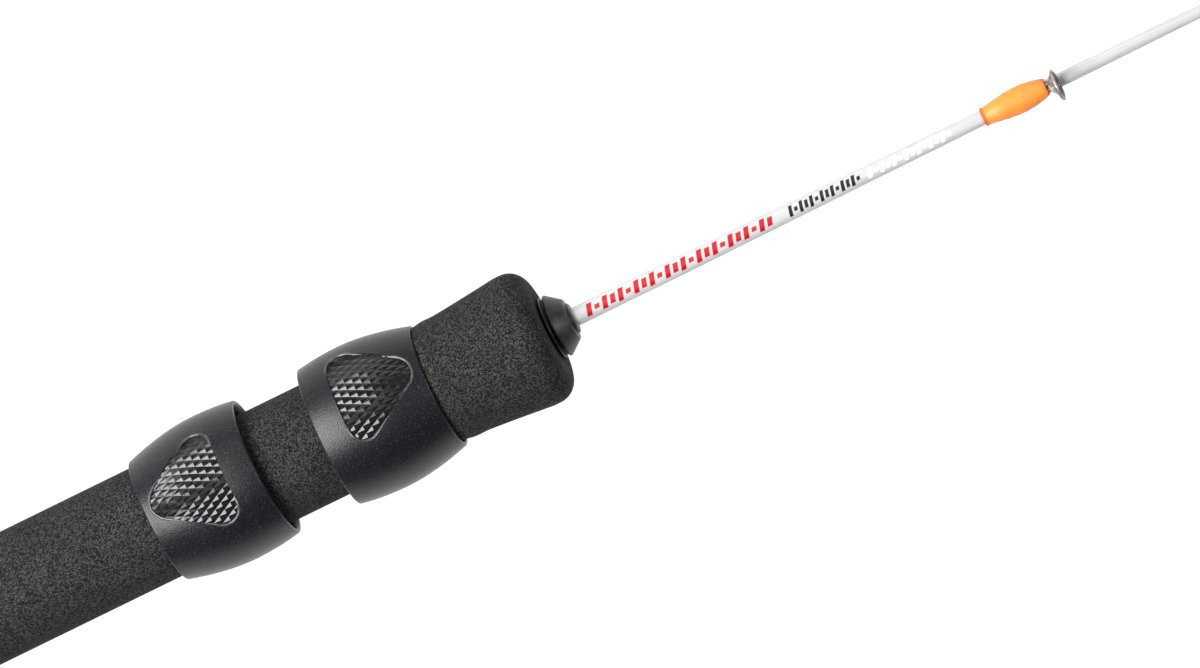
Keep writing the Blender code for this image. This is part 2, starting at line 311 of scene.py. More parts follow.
class Value:
    """A socket that takes part in arithmetic; every operation adds its Math node."""

    def __init__(self, finish, socket):
        self.finish = finish
        self.socket = socket

    def math(self, operation, *others):
        inputs = dict(enumerate((self, *others)))
        return self.finish.node("ShaderNodeMath", {"operation": operation}, inputs)

    __add__ = __radd__ = partialmethod(math, "ADD")
    __mul__ = __rmul__ = partialmethod(math, "MULTIPLY")
    __sub__ = partialmethod(math, "SUBTRACT")
    __truediv__ = partialmethod(math, "DIVIDE")
    __mod__ = partialmethod(math, "FLOORED_MODULO")
    __abs__ = partialmethod(math, "ABSOLUTE")

    def __rsub__(self, other):
        return self.finish.node("ShaderNodeMath", {"operation": "SUBTRACT"}, {0: other, 1: self})

    def ramp(self, low, high):
        """0 at low and below, 1 at high and above, smooth between; low may be the larger."""
        flip = high < low
        settings = {"interpolation_type": "SMOOTHSTEP"}
        ends = {1: min(low, high), 2: max(low, high), 3: 1.0 if flip else 0.0, 4: 0.0 if flip else 1.0}
        return self.finish.node("ShaderNodeMapRange", settings, {0: self, **ends})

    def band(self, low, high, soft):
        """1 between low and high, with soft ends."""
        return self.ramp(low - soft, low + soft) * self.ramp(high + soft, high - soft)


class Finish:
    """A procedural material: a Principled shader and the nodes that feed it."""

    def __init__(self, name, **constants):
        self.material = bpy.data.materials.new(name)
        self.material.use_nodes = True
        self.tree = self.material.node_tree
        self.shader = self.tree.nodes["Principled BSDF"]
        for label, setting in constants.items():
            self.set(label.replace("_", " "), setting)

    def node(self, kind, settings=None, inputs=None, output=0):
        """Adds a node: first its settings, then the values or links of its sockets."""
        made = self.tree.nodes.new(kind)
        for key, setting in (settings or {}).items():
            setattr(made, key, setting)
        for key, source in (inputs or {}).items():
            self.feed(made.inputs[key], source)
        return Value(self, made.outputs[output])

    def feed(self, socket, source):
        if isinstance(source, Value):
            self.tree.links.new(source.socket, socket)
        elif socket.type == "RGBA" and len(source) == 3:
            socket.default_value = (*source, 1.0)
        else:
            socket.default_value = source

    def place(self):
        """Object coordinates as a vector, in metres."""
        return self.node("ShaderNodeTexCoord", output="Object")

    def axes(self):
        """Place along the rod, and the two places across it."""
        split = self.node("ShaderNodeSeparateXYZ", inputs={0: self.place()}).socket.node
        return [Value(self, socket) for socket in split.outputs]

    def stretched(self, scale):
        """Object coordinates scaled along each axis."""
        return self.node("ShaderNodeMapping", inputs={"Vector": self.place(), "Scale": scale})

    def noise(self, size, detail=2.0, roughness=0.5, vector=None):
        """Cloudy noise with features of about this many millimetres."""
        inputs = {"Vector": vector or self.place(), "Scale": 1.0 / (size * MM), "Detail": detail,
                  "Roughness": roughness}
        return self.node("ShaderNodeTexNoise", inputs=inputs)

    def cells(self, size, output="Distance"):
        """Scattered cells of about this many millimetres."""
        inputs = {"Vector": self.place(), "Scale": 1.0 / (size * MM)}
        return self.node("ShaderNodeTexVoronoi", inputs=inputs, output=output)

    def mix(self, factor, first, second):
        """Blends two colours."""
        inputs = {"Factor": factor, 6: first, 7: second}
        return self.node("ShaderNodeMix", {"data_type": "RGBA"}, inputs, 2)

    def paint(self, factor, first, second, roughness):
        self.set("Base Color", self.mix(factor, first, second))
        self.set("Roughness", roughness)

    def bump(self, height, distance, strength):
        """A bump whose height of 1 stands this many millimetres out."""
        inputs = {"Height": height, "Distance": distance * MM, "Strength": strength}
        self.set("Normal", self.node("ShaderNodeBump", inputs=inputs))

    def set(self, label, source):
        self.feed(self.shader.inputs[label], source)


def finish_named(name, make):
    """The material of this name, made the first time that it is asked for."""
    return bpy.data.materials.get(name) or make(name).material


def foam_finish(name):
    """Closed-cell foam: pale grains, dark pores and a soft nap."""
    grip = bpy.context.scene.rod_grip
    finish = Finish(name, Roughness=0.86, Specular_IOR_Level=0.18)
    grain = finish.cells(0.19, output="Color")
    grain = finish.node("ShaderNodeSeparateColor", inputs={0: grain})
    cloud = finish.noise(4.0, detail=3.0)
    fine = finish.noise(0.28, detail=1.0)
    pale = (0.8 * grain + 0.2 * fine).ramp(0.30, 0.92) * (0.65 + 0.60 * cloud)
    finish.paint(pale, grip.dark[:], grip.light[:], 0.95 - 0.22 * pale)
    pores = finish.cells(0.34)
    finish.bump(0.7 * fine + 0.6 * pores.ramp(0.0, 0.5) + 0.3 * cloud, 0.08, 0.5)
    return finish


def ring_finish(name):
    """Satin moulded plastic with a spark-eroded grain, worn a little smoother in broad patches."""
    ring = bpy.context.scene.rod_rings
    finish = Finish(name, Roughness=0.4, IOR=1.41)
    grain = finish.noise(0.36, roughness=0.7)
    handled = finish.noise(5.0, detail=3.0)
    tint = ring.tint[:]
    pale = tuple(1.7 * channel for channel in tint)
    # Small pale flecks painted into the base colour: a painted glint standing in for the grain's sparkle in
    # the light.
    painted_sparkle = finish.noise(0.30, detail=1.0, roughness=0.4)
    body = finish.mix(grain.ramp(0.35, 0.75) * 0.8, tint, pale)
    finish.paint(painted_sparkle.ramp(0.62, 0.74), body, (0.036, 0.035, 0.040), 0.20 + 0.22 * grain + 0.08 * handled)
    finish.bump(grain, 0.060, 0.9)
    return finish


def knurl_finish(name):
    """The same plastic on the thumb pads, where the pyramids' faces are smoother."""
    ring = bpy.context.scene.rod_rings
    finish = Finish(name, Roughness=0.3, IOR=1.50)
    grain = finish.noise(0.25, detail=1.0)
    finish.paint(grain.ramp(0.3, 0.8), ring.tint[:], (0.011, 0.011, 0.013), 0.13 + 0.10 * grain)
    finish.bump(grain, 0.02, 0.4)
    return finish


def edge_finish(name):
    """The same plastic on the pads' raised edges, painted paler all along as a painted highlight of the lit
    edge, and smoother.
    """
    finish = Finish(name, Roughness=0.3, IOR=1.62)
    painted_highlight_mottle = finish.noise(1.2, detail=3.0)
    finish.paint(painted_highlight_mottle.ramp(0.35, 0.7), (0.022, 0.022, 0.024), (0.060, 0.060, 0.064), 0.20 + 0.12 * painted_highlight_mottle)
    finish.bump(painted_highlight_mottle, 0.02, 0.3)
    return finish


def rubber_finish(name):
    """Black rubber with faint mould rings and a dusty sheen."""
    finish = Finish(name, Roughness=0.42, Specular_IOR_Level=0.5)
    mottle = finish.noise(0.9, detail=4.0)
    along, _, _ = finish.axes()
    rings = (along * (2.0 * math.pi / (0.33 * MM))).math("SINE")
    finish.paint(mottle.ramp(0.35, 0.8), (0.0105, 0.0105, 0.011), (0.028, 0.027, 0.027), 0.34 + 0.2 * mottle)
    finish.bump(0.2 * rings + mottle, 0.02, 0.35)
    return finish


def core_finish(name):
    """Raw wound fibreglass of the hidden core."""
    finish = Finish(name, Roughness=0.55)
    strands = finish.noise(0.5, vector=finish.stretched((0.08, 1.0, 1.0)))
    finish.paint(strands.ramp(0.3, 0.7), (0.42, 0.38, 0.27), (0.66, 0.62, 0.50), 0.45 + 0.25 * strands)
    finish.bump(strands, 0.03, 0.4)
    return finish


def blank_finish(name):
    """Translucent white fibreglass with long faint strands and three rows of plain printed marks."""
    blank = bpy.context.scene.rod_blank
    finish = Finish(name, Roughness=0.3, Subsurface_Weight=0.85, Subsurface_Scale=1.4 * MM,
                    Subsurface_Radius=(1.0, 1.0, 1.0))
    along, across, up = finish.axes()
    strands = finish.noise(0.35, vector=finish.stretched((0.03, 1.0, 1.0)))
    cloud = finish.noise(6.0)
    body = finish.mix(strands.ramp(0.35, 0.7) * 0.5 + cloud * 0.25, blank.glass[:], (0.56, 0.56, 0.56))
    turn = across.math("ARCTAN2", up) - math.radians(10.0)
    start = blank.mark_start
    pitch = blank.mark_pitch
    inks = (
        (start, pitch, 12, blank.red[:], 0.70),
        (start + 12.9 * pitch, 0.66 * pitch, 7, blank.black[:], 0.66),
        (start + 17.9 * pitch, 0.77 * pitch, 7, blank.white[:], 0.66),
    )
    for start, pitch, count, ink, half_height in inks:
        mask = printed_bars(along, turn, start, pitch, count, half_height)
        body = finish.mix(mask, body, ink)
    finish.set("Base Color", body)
    finish.set("Roughness", 0.24 + 0.14 * strands)
    finish.bump(strands, 0.01, 0.3)
    return finish


def printed_bars(along, turn, start, pitch, count, half_height):
    """A row of slanted full bars with a lower bar in the middle after each, of two heights by turns."""
    slanted = (along - start) / pitch + turn * -0.16
    cell = slanted % 1.0
    number = slanted - cell
    row = slanted.band(0.0, float(count), 0.01)
    full = cell.band(0.06, 0.38, 0.02) * abs(turn).ramp(half_height + 0.03, half_height - 0.03)
    low = 0.35 * half_height
    taller = (number % 2.0) * low
    short = cell.band(0.56, 0.88, 0.02) * (abs(turn) - taller).ramp(low + 0.03, low - 0.03)
    return row * full.math("MAXIMUM", short)


def sleeve_finish(name):
    """Stretched orange elastic with fine creases across the rod, painted deeper at its rolled lip and with
    painted shade in the creases and at the open mouth.
    """
    guides = bpy.context.scene.rod_guides
    finish = Finish(name, Roughness=0.42, Subsurface_Weight=0.25, Subsurface_Scale=0.5 * MM,
                    Subsurface_Radius=(1.0, 0.35, 0.1))
    creases = finish.noise(1.1, detail=4.0, roughness=0.65, vector=finish.stretched((2.6, 0.8, 0.8)))
    lip = finish.node("ShaderNodeAttribute", {"attribute_name": "lip"}, output="Fac")
    # Painted shade in the creases and at the mouth, with the rolled lip painted deeper.
    deep = (creases.ramp(0.56, 0.70) * 0.55).math("MAXIMUM", lip)
    finish.paint(deep, guides.orange[:], guides.orange_deep[:], 0.36 + 0.22 * creases)
    finish.bump(creases, 0.09, 0.5)
    return finish


def steel_finish(name):
    """Drawn steel wire, a little tarnished."""
    guides = bpy.context.scene.rod_guides
    finish = Finish(name, Metallic=1.0, Roughness=0.34)
    stain = finish.noise(0.9, detail=4.0)
    scratches = finish.noise(0.2, detail=1.0, vector=finish.stretched((1.0, 0.3, 1.0)))
    finish.paint(stain.ramp(0.28, 0.62), guides.steel[:], (0.30, 0.26, 0.235),
                 0.42 + 0.20 * stain + 0.1 * scratches)
    finish.bump(scratches, 0.02, 0.35)
    return finish


def ceramic_finish(name):
    """Polished grey ceramic."""
    finish = Finish(name, Roughness=0.18, Specular_IOR_Level=0.7)
    mottle = finish.noise(0.6, detail=3.0)
    finish.paint(mottle, (0.045, 0.045, 0.048), (0.10, 0.10, 0.105), 0.12 + 0.14 * mottle)
    return finish


def table_finish(name):
    """Pale, evenly lit table top."""
    finish = Finish(name, Roughness=0.9, Specular_IOR_Level=0.1, Emission_Strength=1.0,
                    Emission_Color=(1.0, 1.0, 1.0))
    mottle = finish.noise(60.0)
    finish.set("Base Color", finish.mix(mottle, (0.10, 0.10, 0.10), (0.12, 0.12, 0.12)))
    return finish


# ---------------- grip


FLARE_POWER = 1.3  # how slowly a flare leaves the straight part
FLARE_SHOULDER = 1.35  # where a flare is widest, in corner radii from its end
BULGE_HEIGHT = 0.22 * MM  # foam squeezed up in front of the front ring
BULGE_AHEAD = 2.2 * MM
BULGE_SPREAD = 1.6 * MM
CORE_FIT = 0.05 * MM


def flare(grip, start, end, radius, count):
    """Outline of a flare that leaves the straight grip at start and is widest at end."""
    points = []
    for i in range(count + 1):
        part = i / count
        swell = (radius - grip.radius) * part**FLARE_POWER
        points.append((grip.radius + swell, start + (end - start) * part))
    return points


def grip_outline(grip, low, high, bore):
    """Section of the grip, with the swelling that the front ring squeezes up before it."""
    corner = grip.corner
    outline = arc((grip.front_radius - corner, high - corner), corner, 90.0, 0.0, 14)
    shoulder = FLARE_SHOULDER * corner
    outline += reversed(flare(grip, grip.front_start, high - shoulder, grip.front_radius, 30))
    outline += flare(grip, grip.front_start, grip.rear_end, grip.radius, 24)[1:-1]
    outline += flare(grip, grip.rear_end, low + shoulder, grip.rear_radius, 24)
    outline += arc((grip.rear_radius - corner, low + corner), corner, 0.0, -90.0, 14)
    ring_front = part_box("front_reel_ring")[1].x
    swollen = []
    for radius, place in outline:
        bulge = BULGE_HEIGHT * math.exp(-(((place - ring_front - BULGE_AHEAD) / BULGE_SPREAD) ** 2))
        swollen.append((radius + bulge, place))
    return [(bore, high)] + swollen + [(bore, low)]


class ROD_OT_grip(bpy.types.Operator):
    """Makes the foam grip around the core tube"""

    bl_idname = "ice_rod.grip"
    bl_label = "Foam Grip"

    def execute(self, context):
        low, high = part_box("foam_grip")
        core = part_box("core_tube")[1].z + CORE_FIT
        outline = grip_outline(context.scene.rod_grip, low.x, high.x, core)
        piece = turned("grip_foam", outline, 128)
        dress(piece, finish_named("eva_foam_black", foam_finish), "rod", "eva_foam", "foam_grip")
        return {"FINISHED"}


# ---------------- reel rings


NARROW_POWER = 1.75  # how the outside rounds off from its widest place to the narrow end
WIDE_POWER = 2.2  # and to the mouth
BORE_STRAIGHT = 9.0 * MM  # the bore opens beyond this
MOUTH_POWER = 1.2
BORE_EDGE = 0.2 * MM
MOUTH_EDGE = 0.25 * MM

PAD_BASE_AT = 16.65 * MM  # the pad's straight side, from the ring's narrow end
PAD_APEX_AT = 1.9 * MM
PAD_HALF_WIDTH = 9.65 * MM
PAD_BASE_CORNER = 3.1 * MM
PAD_APEX_CORNER = 4.2 * MM
PAD_BASE_SHARP = 2.49 * MM  # from the pad's rounded corners out to where they would be sharp
PAD_APEX_SHARP = 3.75 * MM
PAD_BASE_DRAW = 1.8  # how far the sharp corners move in for each unit of inset
PAD_APEX_DRAW = 1.9
PAD_SLICES = 16
PAD_TOOL_REACH = 2.0 * MM
PAD_OVERLAP = 0.04 * MM
PAD_GAP = 0.08 * MM
KNURL_VALLEY = -0.31 * MM
KNURL_PEAK = -0.08 * MM
LIP_RADIUS = 0.28 * MM
LIP_SUNK = -0.10 * MM
UNROLL_INSIDE = 0.3 * MM  # the pads are unrolled on a radius this much under the widest one


def ring_radius(ring, place, long):
    """Outer radius of a ring at a distance from its narrow end."""
    if place <= ring.widest_at:
        part = 1.0 - place / ring.widest_at
        return ring.widest - (ring.widest - ring.narrow) * part**NARROW_POWER
    part = (place - ring.widest_at) / (long - ring.widest_at)
    return ring.widest - (ring.widest - ring.wide_rim) * part**WIDE_POWER


def ring_outline(ring, long):
    rim = ring.rim
    thin = 0.8 * rim
    narrow_centre = (ring_radius(ring, rim, long) - rim, rim)
    wide_centre = (ring_radius(ring, long - thin, long) - thin, long - thin)
    outline = arc(wide_centre, thin, 90.0, 0.0, 6)
    for i in range(1, 40):
        place = long - thin - (long - thin - rim) * i / 40
        outline.append((ring_radius(ring, place, long), place))
    outline += arc(narrow_centre, rim, 0.0, -90.0, 7)
    outline += [(ring.bore + BORE_EDGE, 0.0), (ring.bore, BORE_EDGE)]
    for i in range(11):
        part = i / 10
        place = BORE_STRAIGHT + (long - BORE_STRAIGHT - MOUTH_EDGE) * part
        outline.append((ring.bore + (ring.mouth - ring.bore) * part**MOUTH_POWER, place))
    outline.append((ring.mouth + BORE_EDGE, long))
    return outline


def rounded_outline(corners, radii, steps):
    """A polygon with each corner rounded to its own radius, as 2D points."""
    points = []
    count = len(corners)
    for i, (corner, radius) in enumerate(zip(corners, radii)):
        before = (corners[i - 1] - corner).normalized()
        after = (corners[(i + 1) % count] - corner).normalized()
        half = before.angle(after) / 2
        inward = (before + after).normalized()
        centre = corner + inward * (radius / math.sin(half))
        start = corner + before * (radius / math.tan(half)) - centre
        end = corner + after * (radius / math.tan(half)) - centre
        sweep = start.angle_signed(end)
        for k in range(steps + 1):
            turn = -sweep * k / steps
            spun = Vector((start.x * math.cos(turn) - start.y * math.sin(turn),
                           start.x * math.sin(turn) + start.y * math.cos(turn)))
            points.append(centre + spun)
    return points


def pad_outline(inset):
    """Rounded triangle of a thumb pad on the unrolled ring: x along the ring, y around it."""
    base = PAD_BASE_AT - inset
    apex = PAD_APEX_AT - PAD_APEX_SHARP + PAD_APEX_DRAW * inset
    wide = PAD_HALF_WIDTH + PAD_BASE_SHARP - PAD_BASE_DRAW * inset
    corners = [Vector((base, -wide)), Vector((base, wide)), Vector((apex, 0.0))]
    radii = [PAD_BASE_CORNER - inset, PAD_BASE_CORNER - inset, PAD_APEX_CORNER - inset]
    return rounded_outline(corners, radii, 10)


def prism(name, outline, low, high, slices):
    """A flat-ended prism over an outline, sliced across so that it can be wrapped around a ring."""
    shape = bmesh.new()
    face = shape.faces.new([shape.verts.new((x, y, low)) for x, y in outline])
    raised = bmesh.ops.extrude_face_region(shape, geom=[face])
    top = only(raised, bmesh.types.BMVert)
    bmesh.ops.translate(shape, verts=top, vec=(0.0, 0.0, high - low))
    reach = max(abs(point.y) for point in outline)
    cuts = [((0.0, -reach + 2.0 * reach * i / slices, 0.0), (0.0, 1.0, 0.0)) for i in range(1, slices)]
    cuts += [((PAD_APEX_AT + (PAD_BASE_AT - PAD_APEX_AT) * i / slices, 0.0, 0.0), (1.0, 0.0, 0.0))
             for i in range(1, slices)]
    for point, normal in cuts:
        everything = shape.verts[:] + shape.edges[:] + shape.faces[:]
        bmesh.ops.bisect_plane(shape, geom=everything, plane_co=point, plane_no=normal)
    return add_shape(name, shape)


def knurl_mesh(name, ring, depth):
    """A closed slab whose top is a field of four-sided pyramids in staggered rows."""
    half_long = ring.knurl_length
    half_wide = ring.knurl_width
    shape = bmesh.new()
    found = {}

    def vert(i, j, height):
        if (i, j) not in found:
            found[(i, j)] = shape.verts.new((PAD_APEX_AT + i * half_long / 2, j * half_wide / 2, height))
        return found[(i, j)]

    columns = range(-4, int(2 * (PAD_BASE_AT - PAD_APEX_AT) / half_long) + 8)
    rows = range(-int(2 * PAD_HALF_WIDTH / half_wide) - 6, int(2 * PAD_HALF_WIDTH / half_wide) + 7)
    for i in columns:
        for j in rows:
            if i % 2 or j % 2 or (i // 2 + j // 2) % 2:
                continue
            top = vert(i, j, KNURL_PEAK)
            feet = [vert(i + x, j + y, KNURL_VALLEY) for x, y in ((2, 0), (0, 2), (-2, 0), (0, -2))]
            for first, second in zip(feet, feet[1:] + feet[:1]):
                shape.faces.new((top, first, second))
    border = [edge for edge in shape.edges if edge.is_boundary]
    sides = bmesh.ops.extrude_edge_only(shape, edges=border)
    for point in only(sides, bmesh.types.BMVert):
        point.co.z = -depth
    rims = [edge for edge in only(sides, bmesh.types.BMEdge) if edge.is_boundary]
    bmesh.ops.holes_fill(shape, edges=rims, sides=0)
    return add_shape(name, shape)


def wrap(ring, long, x, around, depth):
    """Takes a point of the unrolled ring to its place on the ring, whose axis is on +X."""
    radius = ring_radius(ring, x, long) + depth
    turn = around / (ring.widest - UNROLL_INSIDE)
    return Vector((x, radius * math.sin(turn), radius * math.cos(turn)))


def wrap_piece(piece, ring, long, place):
    for vert in piece.data.vertices:
        vert.co = place @ wrap(ring, long, vert.co.x, vert.co.y, vert.co.z)
    piece.data.update()


def make_ring(ring, prefix, node, body, backwards, turn):
    """One reel ring with two sunk thumb pads, on opposite sides; it sits a little askew on the foam."""
    low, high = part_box(node)
    long = high.x - low.x
    aside = -1.0 if backwards else 1.0
    seat = Matrix.Translation(((low.x + high.x) / 2, aside * ring.play, 0.0))
    seat = seat @ Matrix.Rotation(aside * ring.cock, 4, "Z")
    facing = Matrix.Rotation(math.pi, 4, "Z") if backwards else Matrix()
    place = seat @ Matrix.Rotation(-turn, 4, "X") @ facing @ Matrix.Translation((-long / 2, 0.0, 0.0))
    shell = turned(f"{prefix}_shell", ring_outline(ring, long), 144, place=place)
    for number, half_turn in enumerate((0.0, math.pi), start=1):
        side = place @ Matrix.Rotation(half_turn, 4, "X")
        cutter = prism("pad_cutter", pad_outline(0.0), -ring.pad_depth, PAD_TOOL_REACH, PAD_SLICES)
        wrap_piece(cutter, ring, long, side)
        shell = boolean(shell, cutter, "DIFFERENCE")
        pad = knurl_mesh(f"{prefix}_pad_{number}", ring, ring.pad_depth + PAD_OVERLAP)
        limit = prism("pad_limit", pad_outline(PAD_GAP), -PAD_TOOL_REACH, PAD_TOOL_REACH, 1)
        pad = boolean(pad, limit, "INTERSECT")
        wrap_piece(pad, ring, long, side)
        dress(pad, finish_named("moulded_knurl_black", knurl_finish), body, "moulded_black")
        bead = [side @ wrap(ring, long, x, y, LIP_SUNK) for x, y in pad_outline(PAD_OVERLAP)]
        lip = wire(f"{prefix}_pad_{number}_lip", bead, LIP_RADIUS, cyclic=True, roundness=4)
        # The lip beads take the paler finish: a painted highlight along the pads' edges.
        dress(lip, finish_named("moulded_edge_worn", edge_finish), body, "moulded_black")
    weld(shell.data)
    smooth(shell, 32.0)
    dress(shell, finish_named("moulded_satin_black", ring_finish), body, "moulded_black", node)


class ROD_OT_rings(bpy.types.Operator):
    """Makes both reel rings with their knurled thumb pads"""

    bl_idname = "ice_rod.rings"
    bl_label = "Reel Rings"

    def execute(self, context):
        ring = context.scene.rod_rings
        make_ring(ring, "rear_ring", "rear_reel_ring", "rear_ring", False, ring.rear_turn)
        make_ring(ring, "front_ring", "front_reel_ring", "front_ring", True, ring.front_turn)
        return {"FINISHED"}


# ---------------- check, plug and blank


CHECK_FILLET = 0.3 * MM
CHECK_COLLAR = 2.95 * MM
CHECK_CONE = 4.1 * MM  # radius at the cone's front end
CHECK_CONE_END = 4.3 * MM
CHECK_GROOVE = 0.65 * MM  # depth of the groove behind the cone
CHECK_FIT = 0.02 * MM

PLUG_WALL = 1.7 * MM  # wall of the core tube that the stem clears
PLUG_ROUNDING = 0.8 * MM
PLUG_EDGE = 0.25 * MM
PLUG_FIT = 0.05 * MM
PLUG_GROOVE = 4.6 * MM  # radius of the ring moulded into the end face
PLUG_GROOVE_DEPTH = 0.3 * MM
PLUG_GROOVE_HALF = 0.45 * MM

BLANK_ROUNDING = 0.15 * MM
BLANK_STEPS = 90


def dress_rubber(piece, node):
    dress(piece, finish_named("rubber_black", rubber_finish), "rod", "black_rubber", node)


class ROD_OT_check(bpy.types.Operator):
    """Makes the rubber winding check in front of the grip"""

    bl_idname = "ice_rod.check"
    bl_label = "Winding Check"

    def execute(self, context):
        low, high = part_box("winding_check")
        base = high.z
        long = high.x - low.x
        bore = blank_radius(context.scene.rod_blank, high.x) + CHECK_FIT
        fillet = CHECK_FILLET
        outline = [(bore, long - 0.5 * fillet), (bore + 0.4 * fillet, long)]
        outline += arc((CHECK_COLLAR - fillet, long - fillet), fillet, 90.0, 0.0, 5)
        outline.append((CHECK_COLLAR + 0.02 * MM, CHECK_CONE_END + 0.4 * fillet))
        outline.append((CHECK_COLLAR + 0.5 * fillet, CHECK_CONE_END))
        outline += arc((CHECK_CONE - fillet, CHECK_CONE_END - fillet), fillet, 90.0, 30.0, 5)
        outline += arc((base - 0.32 * MM, 1.5 * MM), 0.35 * MM, 30.0, -60.0, 5)
        outline += [(base - 0.62 * MM, 1.05 * MM), (base - CHECK_GROOVE, 0.85 * MM)]
        outline.append((base - fillet, 0.72 * MM))
        outline += arc((base - fillet, 0.42 * MM), fillet, 60.0, -90.0, 6)
        outline += [(base - 2.0 * fillet, 0.0), (bore, 0.0)]
        place = Matrix.Translation((low.x, 0.0, 0.0))
        piece = turned("check_cone", outline, 96, place=place, sharp_angle=55.0)
        dress_rubber(piece, "winding_check")
        return {"FINISHED"}


class ROD_OT_plug(bpy.types.Operator):
    """Makes the rubber plug in the butt"""

    bl_idname = "ice_rod.plug"
    bl_label = "Butt Plug"

    def execute(self, context):
        low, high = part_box("butt_plug")
        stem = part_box("core_tube")[1].z - PLUG_WALL
        radius = high.z
        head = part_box("foam_grip")[0].x - PLUG_FIT
        outline = [(0.0, high.x), (stem - PLUG_ROUNDING, high.x)]
        outline += [(stem, high.x - PLUG_ROUNDING), (stem, head)]
        outline += arc((radius - PLUG_EDGE, head - PLUG_EDGE), PLUG_EDGE, 90.0, 0.0, 4)
        outline += arc((radius - PLUG_ROUNDING, PLUG_ROUNDING), PLUG_ROUNDING, 0.0, -90.0, 8)
        wide, deep = PLUG_GROOVE_HALF, PLUG_GROOVE_DEPTH
        groove = ((wide, 0.0), (deep, deep), (-deep, deep), (-wide, 0.0))
        outline += [(PLUG_GROOVE + across, up) for across, up in groove] + [(0.0, 0.0)]
        piece = turned("plug_button", outline, 96, closed=False, sharp_angle=50.0)
        dress_rubber(piece, "butt_plug")
        return {"FINISHED"}


def blank_radius(blank, place):
    """Radius of the blank at a place along the rod."""
    return min(blank.butt_radius, blank.tip_radius + blank.taper * (cad_box[1].x - place))


class ROD_OT_blank(bpy.types.Operator):
    """Makes the tapered blank"""

    bl_idname = "ice_rod.blank"
    bl_label = "Blank"

    def execute(self, context):
        blank = context.scene.rod_blank
        low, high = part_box("rod_blank")
        outline = [(0.0, high.x), (blank_radius(blank, high.x) - BLANK_ROUNDING, high.x)]
        for i in range(BLANK_STEPS + 1):
            place = high.x - BLANK_ROUNDING + (low.x - high.x + BLANK_ROUNDING) * i / BLANK_STEPS
            outline.append((blank_radius(blank, place), place))
        outline.append((0.0, low.x))
        piece = turned("blank_shaft", outline, 56, closed=False, sharp_angle=50.0)
        dress(piece, finish_named("fibreglass_white", blank_finish), "rod", "white_fibreglass", "rod_blank")
        return {"FINISHED"}


# ---------------- guides


LEG_SPREAD = math.radians(50.0)  # where the legs leave the hoop, from its lowest point
LEG_BEND_OUT = 0.40 * MM
LEG_BEND_UP = 0.12 * MM
WEB_SAG = 0.15 * MM
WEB_WALL = 0.3 * MM
WEB_EDGE = 0.08 * MM
WEB_ROWS = 12  # points of the legs that the web joins, from the hoop
EYE_LIP = 0.12 * MM
EYE_WALL = 0.5 * MM
EYE_WIDTH = 0.9 * MM
GUIDE_FIT = 0.05 * MM

SLEEVE_SHOULDER = 0.30  # part of a sleeve's length that it swells over
SLEEVE_FIT = 0.03 * MM
SLEEVE_ROOM = 0.2 * MM  # room inside a sleeve over the foot wires
SLEEVE_LIP = 0.2 * MM
SLEEVE_OVER_WIRE = 0.66 * MM
SLEEVE_SIDE = 0.83 * MM  # how far a sleeve's sides stand out at its middle
SLEEVE_FOLD = 0.022 * MM

TIP_EDGE = 0.1 * MM
TIP_FIT = 0.04 * MM
TIP_SETBACK = 0.35 * MM  # from the hoop's front to the tube's end


def add_hoop(prefix, guide, centre, outer, *nodes):
    """A round wire hoop that stands across the rod."""
    outline = arc((outer - guide.wire, 0.0), guide.wire, 0.0, -360.0, 16)[:-1]
    hoop = turned(f"{prefix}_hoop", outline, 72, place=Matrix.Translation(centre))
    dress(hoop, finish_named("steel_wire", steel_finish), "rod", "steel", *nodes)


def add_eye(prefix, guide, centre, hoop_outer):
    """A ceramic ring with a fully rounded inner side, seated in its hoop."""
    outer = hoop_outer - 2 * guide.wire + GUIDE_FIT
    half = EYE_WIDTH / 2
    outline = arc((outer - EYE_LIP, half - EYE_LIP), EYE_LIP, 90.0, 0.0, 4)
    outline += arc((outer - EYE_LIP, EYE_LIP - half), EYE_LIP, 0.0, -90.0, 4)
    turns = [math.radians(t) for t in range(20, 161, 14)]
    outline += [(outer - EYE_WALL + half * (1.0 - math.sin(t)), -half * math.cos(t)) for t in turns]
    eye = turned(f"{prefix}_eye", outline, 72, place=Matrix.Translation(centre))
    dress(eye, finish_named("ceramic_grey", ceramic_finish), "rod", "grey_ceramic", f"{prefix}_insert")


def leg_points(guide, centre, outer, foot_z, side):
    """Middle line of one leg, from the hoop down to the sleeve's mouth."""
    reach = outer - guide.wire
    top = Vector((centre.x, side * reach * math.sin(LEG_SPREAD), centre.z - reach * math.cos(LEG_SPREAD)))
    mouth = Vector((centre.x - guide.leg_reach, side * guide.foot_half_width, foot_z))
    bend = mouth + Vector((0.30 * guide.leg_reach, side * LEG_BEND_OUT, LEG_BEND_UP))
    return [top, top.lerp(bend, 0.5) + Vector((0.0, side * LEG_BEND_UP, 0.0)), bend, mouth]


def bridge_piece(name, left, right, thickness):
    """The stamped web between the two legs, next to the hoop."""
    shape = bmesh.new()
    across = 8
    rows = []
    for a, b in zip(left, right):
        row = []
        for k in range(across + 1):
            part = k / across
            sag = WEB_SAG * math.sin(math.pi * part)
            row.append(shape.verts.new(a.lerp(b, part) - Vector((0.0, 0.0, sag))))
        rows.append(row)
    for first, second in zip(rows, rows[1:]):
        for k in range(across):
            shape.faces.new((first[k], first[k + 1], second[k + 1], second[k]))
    piece = add_shape(name, shape)
    wall = piece.modifiers.new("Wall", "SOLIDIFY")
    wall.thickness = thickness
    wall.offset = 0.0
    edge = piece.modifiers.new("Edge", "BEVEL")
    edge.width = WEB_EDGE
    edge.segments = 2
    edge.limit_method = "ANGLE"
    return smooth(settle(piece), 40.0)


